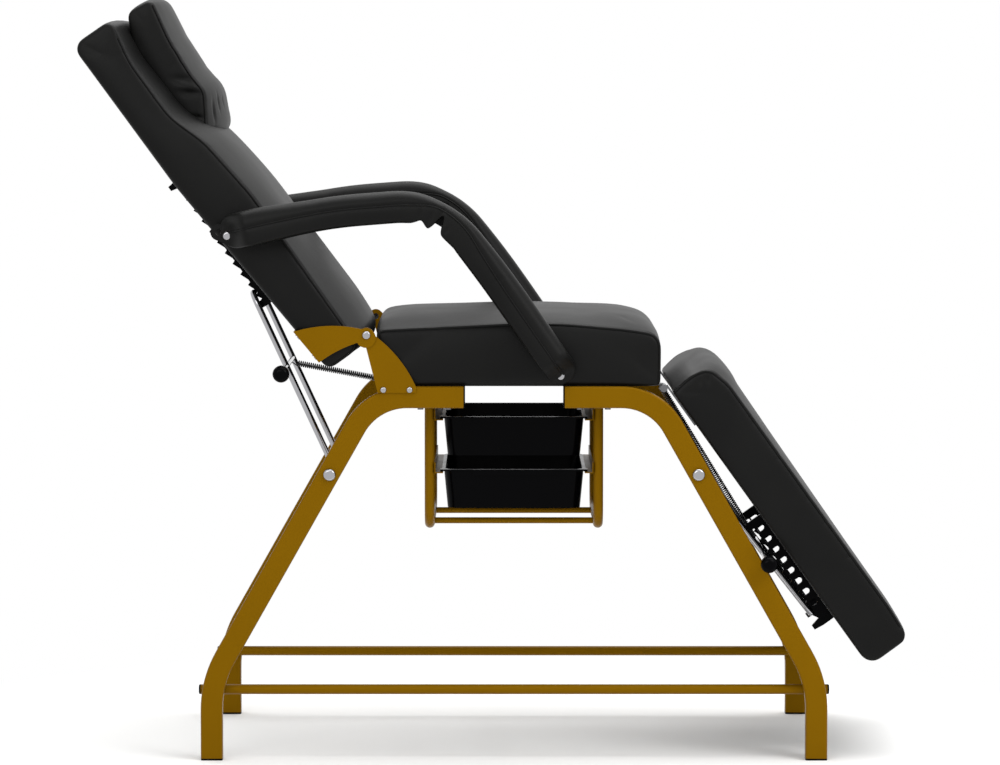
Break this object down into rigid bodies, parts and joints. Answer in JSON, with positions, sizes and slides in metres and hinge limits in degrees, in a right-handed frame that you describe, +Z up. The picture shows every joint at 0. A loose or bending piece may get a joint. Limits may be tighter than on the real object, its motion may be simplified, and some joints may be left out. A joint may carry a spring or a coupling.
{
  "type": "beauty chair",
  "caption": "Salon treatment chair on a bent tube frame, with a reclining padded back, lifting legrest, linked arms and slide-out trays under the seat.",
  "frame": {"origin": "bottom centre of the whole chair's box, on the floor", "axes": "+Z up, +X towards the legrest, +Y to the far side"},
  "size_m": [1.3224, 0.66, 1.219],
  "materials": {
    "gold_paint": "satin",
    "black_plastic": "moulded",
    "black_leather": "soft sheen",
    "chrome": "bright",
    "plywood": "raw",
    "zinc_steel": "zinc plated",
    "black_steel": "powder coat"
  },
  "bodies": {
    "frame": {"rear_leg_near": "gold_paint", "rear_leg_far": "gold_paint", "front_leg_near": "gold_paint", "front_leg_far": "gold_paint", "foot_caps": "black_plastic", "rail_end_caps": "black_plastic", "stretcher_near": "gold_paint", "stretcher_far": "gold_paint", "stretcher_end_caps": "black_plastic", "rear_cross_tube": "gold_paint", "front_cross_tube": "gold_paint", "cross_tube_bolts": "chrome", "rail_screws": "zinc_steel", "seat_board": "plywood", "seat_cushion": "black_leather", "seat_bracket_near": "gold_paint", "seat_bracket_far": "gold_paint", "bracket_bolts": "chrome", "recline_pivot_bolts": "chrome", "arm_pivot_bolts": "chrome", "legrest_hinge_leaves": "zinc_steel", "legrest_hinge_pins": "zinc_steel", "tray_hanger_rear": "gold_paint", "tray_hanger_front": "gold_paint", "tray_hanger_screws": "zinc_steel", "tray_base_bars": "gold_paint", "tray_runners": "gold_paint", "spring_anchors": "zinc_steel", "rear_spring": "zinc_steel", "front_spring": "zinc_steel"},
    "backrest": {"backrest_board": "plywood", "backrest_cushion": "black_leather", "headrest_cushion": "black_leather", "backrest_plate_near": "gold_paint", "backrest_plate_far": "gold_paint", "plate_screws": "chrome", "backrest_rack_near": "black_plastic", "backrest_rack_far": "black_plastic", "arm_rear_bolts": "chrome"},
    "legrest": {"legrest_board": "plywood", "legrest_cushion": "black_leather", "legrest_hinge_straps": "zinc_steel", "legrest_rack_near": "black_plastic", "legrest_rack_far": "black_plastic"},
    "rear_bail": {"rear_bail_rod": "chrome", "rear_bail_sleeves": "chrome", "rear_bail_handle": "chrome", "rear_bail_knob": "black_plastic"},
    "front_bail": {"front_bail_rod": "chrome", "front_bail_sleeves": "chrome", "front_bail_handle": "chrome", "front_bail_knob": "black_plastic"},
    "arm_near": {"arm_core_near": "black_steel", "arm_pad_near": "black_leather"},
    "arm_far": {"arm_core_far": "black_steel", "arm_pad_far": "black_leather"},
    "tray_upper": {"tray_upper": "black_plastic"},
    "tray_lower": {"tray_lower": "black_plastic"}
  },
  "joints": [
    {"name": "backrest_recline", "type": "hinge", "parent": "frame", "child": "backrest", "pos_m": [-0.19556, 0, 0.685], "axis": [0, -1, 0], "range_deg": [0, 54]},
    {"name": "legrest_raise", "type": "hinge", "parent": "frame", "child": "legrest", "pos_m": [0.28124, 0, 0.596], "axis": [0, -1, 0], "range_deg": [0, 54]},
    {"name": "rear_bail_swing", "type": "hinge", "parent": "frame", "child": "rear_bail", "pos_m": [-0.25529, 0, 0.461], "axis": [0, -1, 0], "range_deg": [0, 46], "deforming": ["rear_spring"]},
    {"name": "front_bail_swing", "type": "hinge", "parent": "frame", "child": "front_bail", "pos_m": [0.33576, 0, 0.461], "axis": [0, -1, 0], "range_deg": [0, 74], "deforming": ["front_spring"]},
    {"name": "arm_near_swing", "type": "hinge", "parent": "frame", "child": "arm_near", "pos_m": [0.11424, 0, 0.621], "axis": [0, -1, 0], "range_deg": [0, 26]},
    {"name": "arm_far_swing", "type": "hinge", "parent": "frame", "child": "arm_far", "pos_m": [0.11424, 0, 0.621], "axis": [0, -1, 0], "range_deg": [0, 26]},
    {"name": "tray_upper_slide", "type": "slide", "parent": "frame", "child": "tray_upper", "axis": [0, -1, 0], "range_m": [0, 0.25]},
    {"name": "tray_lower_slide", "type": "slide", "parent": "frame", "child": "tray_lower", "axis": [0, -1, 0], "range_m": [0, 0.25]}
  ],
  "couplings": [
    {"joint": "rear_bail_swing", "follows": "backrest_recline", "ratio": 0.847},
    {"joint": "arm_near_swing", "follows": "backrest_recline", "ratio": 0.461},
    {"joint": "arm_far_swing", "follows": "backrest_recline", "ratio": 0.461},
    {"joint": "front_bail_swing", "follows": "legrest_raise", "ratio": 1.343}
  ]
}
